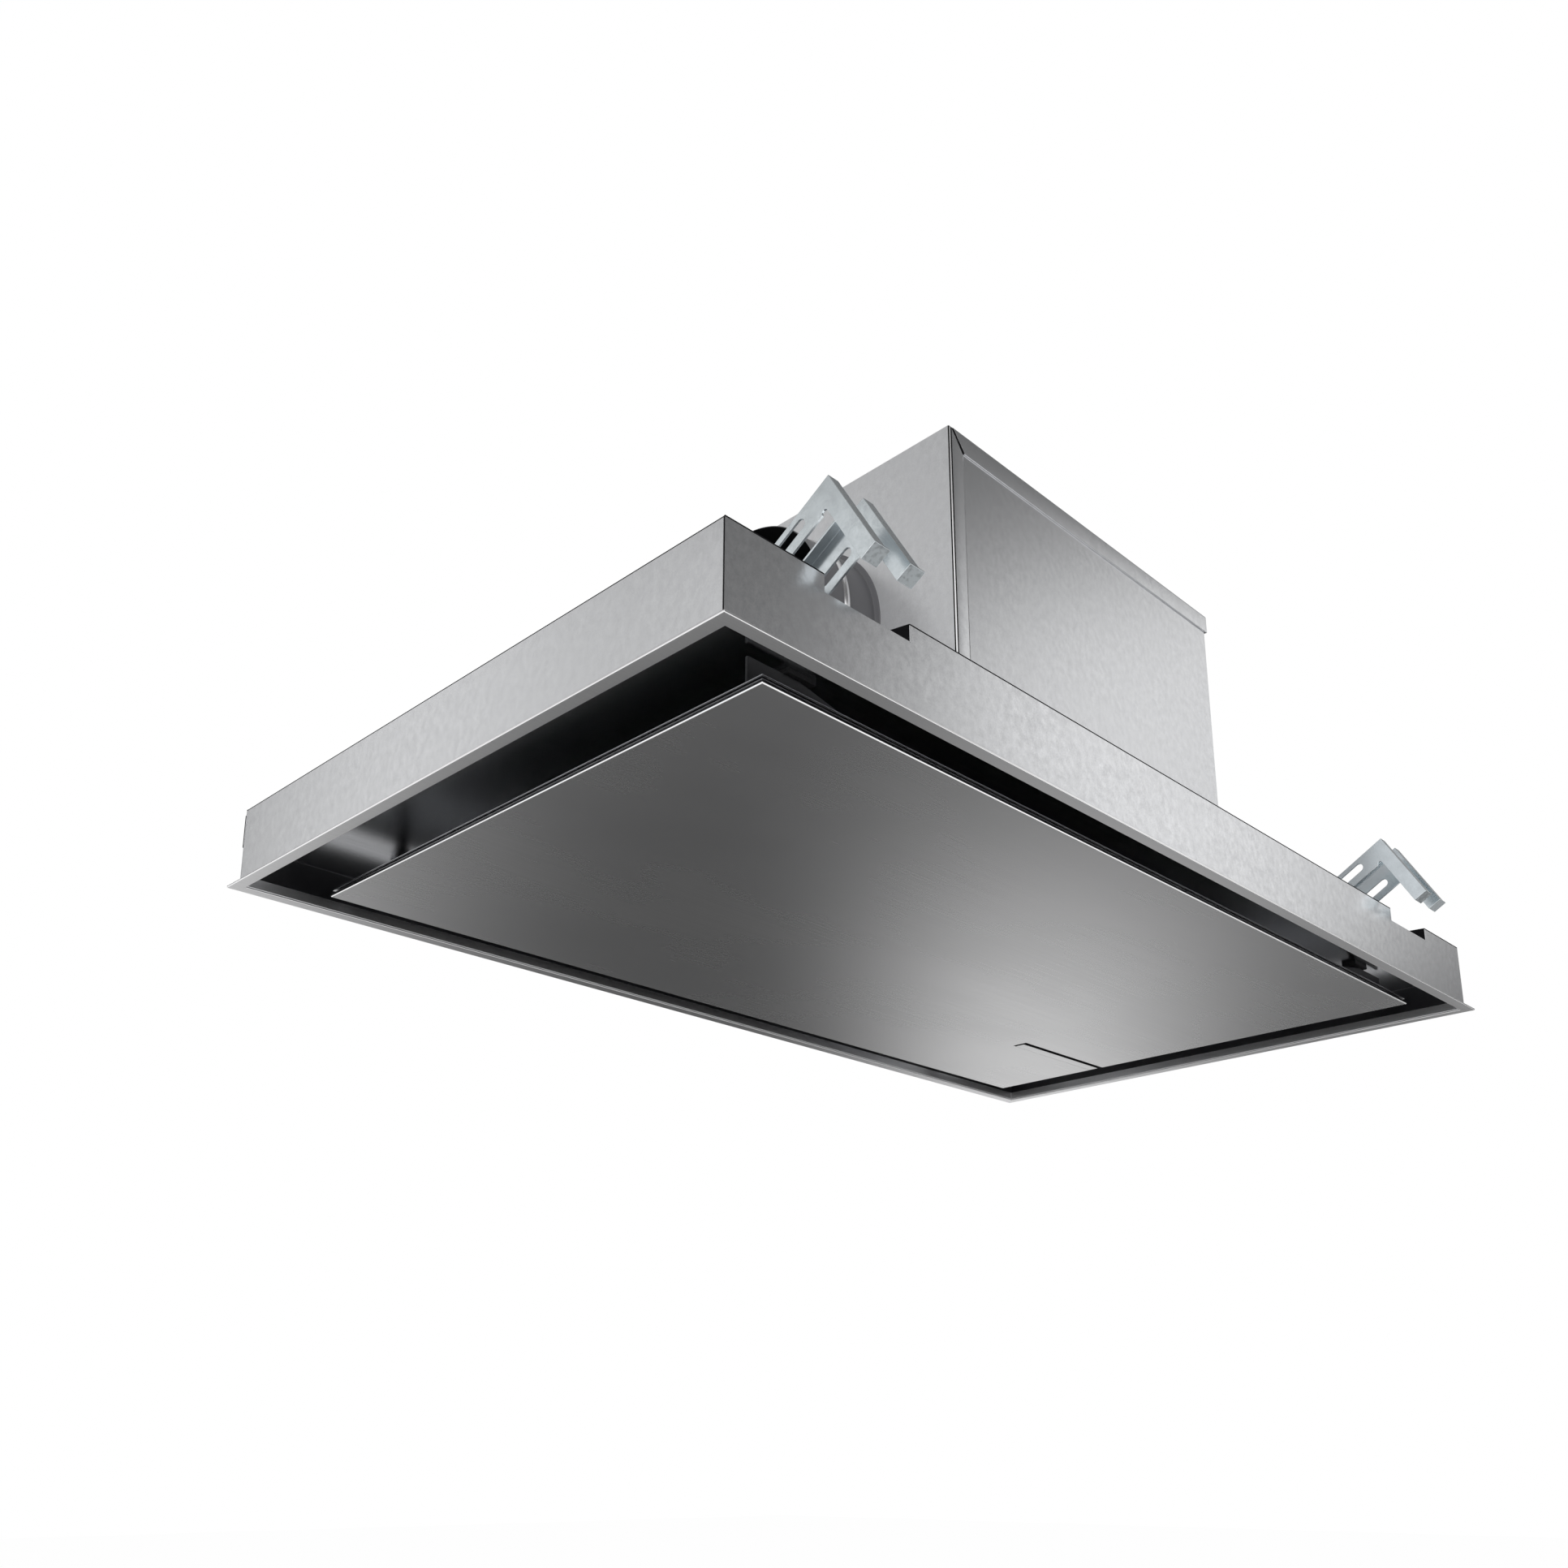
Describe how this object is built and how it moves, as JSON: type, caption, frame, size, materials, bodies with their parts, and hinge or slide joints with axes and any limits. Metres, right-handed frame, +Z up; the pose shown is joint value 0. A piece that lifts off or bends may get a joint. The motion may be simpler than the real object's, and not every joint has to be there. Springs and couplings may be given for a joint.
{
  "type": "range_hood",
  "caption": "Ceiling range hood with perimeter suction, hinged cover panel, two grease filters, motor box with fan, 150 mm side outlet with non-return flaps and four ceiling clamps",
  "frame": {"origin": "centre of the ceiling flange's lower face, which is also the middle of the bounding box's bottom", "axes": "+X along the long side, -Y the front long side, +Z up into the ceiling"},
  "size_m": [0.9, 0.541, 0.299],
  "materials": {
    "galvanised_sheet": "satin",
    "brushed_stainless": "brushed",
    "dark_sheet": "satin",
    "dark_plastic": "matte",
    "collar_plastic": "satin",
    "zinc_plated": "satin",
    "filter_aluminium": "satin",
    "rubber": "matte",
    "spring_steel": "satin"
  },
  "bodies": {
    "housing": {"ceiling_flange": "brushed_stainless", "inner_skirt": "dark_sheet", "front_wall": "galvanised_sheet", "rear_wall": "galvanised_sheet", "left_wall": "galvanised_sheet", "right_wall": "galvanised_sheet", "corner_plate": "dark_sheet", "deck_plate": "brushed_stainless", "intake_plenum": "galvanised_sheet", "box_left_sheet": "galvanised_sheet", "box_right_sheet": "galvanised_sheet", "box_front_sheet": "galvanised_sheet", "box_rear_sheet": "galvanised_sheet", "box_lid": "galvanised_sheet", "duct_collar": "collar_plastic", "flap_rod": "spring_steel", "fan_scroll": "dark_plastic", "scroll_cover": "dark_plastic", "inlet_ring": "dark_plastic", "motor_plate": "galvanised_sheet", "motor_housing": "dark_sheet", "motor_bearings": "spring_steel", "motor_mounts": "rubber", "control_box": "dark_plastic", "control_cover": "dark_plastic", "cable_gland": "dark_plastic", "hinge_lugs": "dark_sheet", "hinge_pins": "spring_steel", "catch_magnets": "dark_plastic", "filter_clips": "spring_steel", "clamp_posts": "galvanised_sheet", "clamp_pins": "spring_steel", "housing_screws": "zinc_plated"},
    "rotor": {"motor_shaft": "spring_steel", "impeller": "galvanised_sheet"},
    "cover_panel": {"panel_face": "brushed_stainless", "panel_core": "dark_plastic", "panel_backing": "galvanised_sheet", "panel_strip": "brushed_stainless", "panel_hinge_arms": "dark_sheet", "panel_catch_posts": "dark_sheet"},
    "flap_front": {"front_flap": "dark_plastic"},
    "flap_rear": {"rear_flap": "dark_plastic"},
    "filter_left": {"left_filter_frame": "filter_aluminium", "left_filter_mesh": "filter_aluminium"},
    "filter_left_tab": {"left_filter_tab": "zinc_plated"},
    "filter_right": {"right_filter_frame": "filter_aluminium", "right_filter_mesh": "filter_aluminium"},
    "filter_right_tab": {"right_filter_tab": "zinc_plated"},
    "clamp_front_left": {"front_left_clamp": "zinc_plated"},
    "clamp_front_right": {"front_right_clamp": "zinc_plated"},
    "clamp_rear_left": {"rear_left_clamp": "zinc_plated"},
    "clamp_rear_right": {"rear_right_clamp": "zinc_plated"}
  },
  "joints": [
    {"name": "panel_hinge", "type": "hinge", "parent": "housing", "child": "cover_panel", "pos_m": [0, 0.206, 0.018], "axis": [1, 0, 0], "range_deg": [0, 90]},
    {"name": "fan_spin", "type": "hinge", "parent": "housing", "child": "rotor", "pos_m": [0.025, 0.028, 0.178], "axis": [0, 0, 1], "continuous": true},
    {"name": "front_flap_swing", "type": "hinge", "parent": "housing", "child": "flap_front", "pos_m": [-0.1823, -0.028, 0.178], "axis": [0, 0, -1], "range_deg": [0, 70], "stiffness_Nm_per_rad": 0.02},
    {"name": "rear_flap_swing", "type": "hinge", "parent": "housing", "child": "flap_rear", "pos_m": [-0.1823, -0.028, 0.178], "axis": [0, 0, 1], "range_deg": [0, 70], "stiffness_Nm_per_rad": 0.02},
    {"name": "left_filter_drop", "type": "slide", "parent": "housing", "child": "filter_left", "axis": [0, 0, -1], "range_m": [0, 0.016]},
    {"name": "right_filter_drop", "type": "slide", "parent": "housing", "child": "filter_right", "axis": [0, 0, -1], "range_m": [0, 0.016]},
    {"name": "left_tab_fold", "type": "hinge", "parent": "filter_left", "child": "filter_left_tab", "pos_m": [-0.15275, -0.1164, 0.032], "axis": [1, 0, 0], "range_deg": [0, 85]},
    {"name": "right_tab_fold", "type": "hinge", "parent": "filter_right", "child": "filter_right_tab", "pos_m": [0.15275, -0.1164, 0.032], "axis": [1, 0, 0], "range_deg": [0, 85]},
    {"name": "front_left_clamp_swing", "type": "hinge", "parent": "housing", "child": "clamp_front_left", "pos_m": [-0.35025, -0.196, 0.0775], "axis": [1, 0, 0], "range_deg": [-60, 30]},
    {"name": "front_right_clamp_swing", "type": "hinge", "parent": "housing", "child": "clamp_front_right", "pos_m": [0.32975, -0.196, 0.0775], "axis": [1, 0, 0], "range_deg": [-60, 30]},
    {"name": "rear_left_clamp_swing", "type": "hinge", "parent": "housing", "child": "clamp_rear_left", "pos_m": [-0.32975, 0.196, 0.0775], "axis": [-1, 0, 0], "range_deg": [-60, 30]},
    {"name": "rear_right_clamp_swing", "type": "hinge", "parent": "housing", "child": "clamp_rear_right", "pos_m": [0.35025, 0.196, 0.0775], "axis": [-1, 0, 0], "range_deg": [-60, 30]}
  ]
}
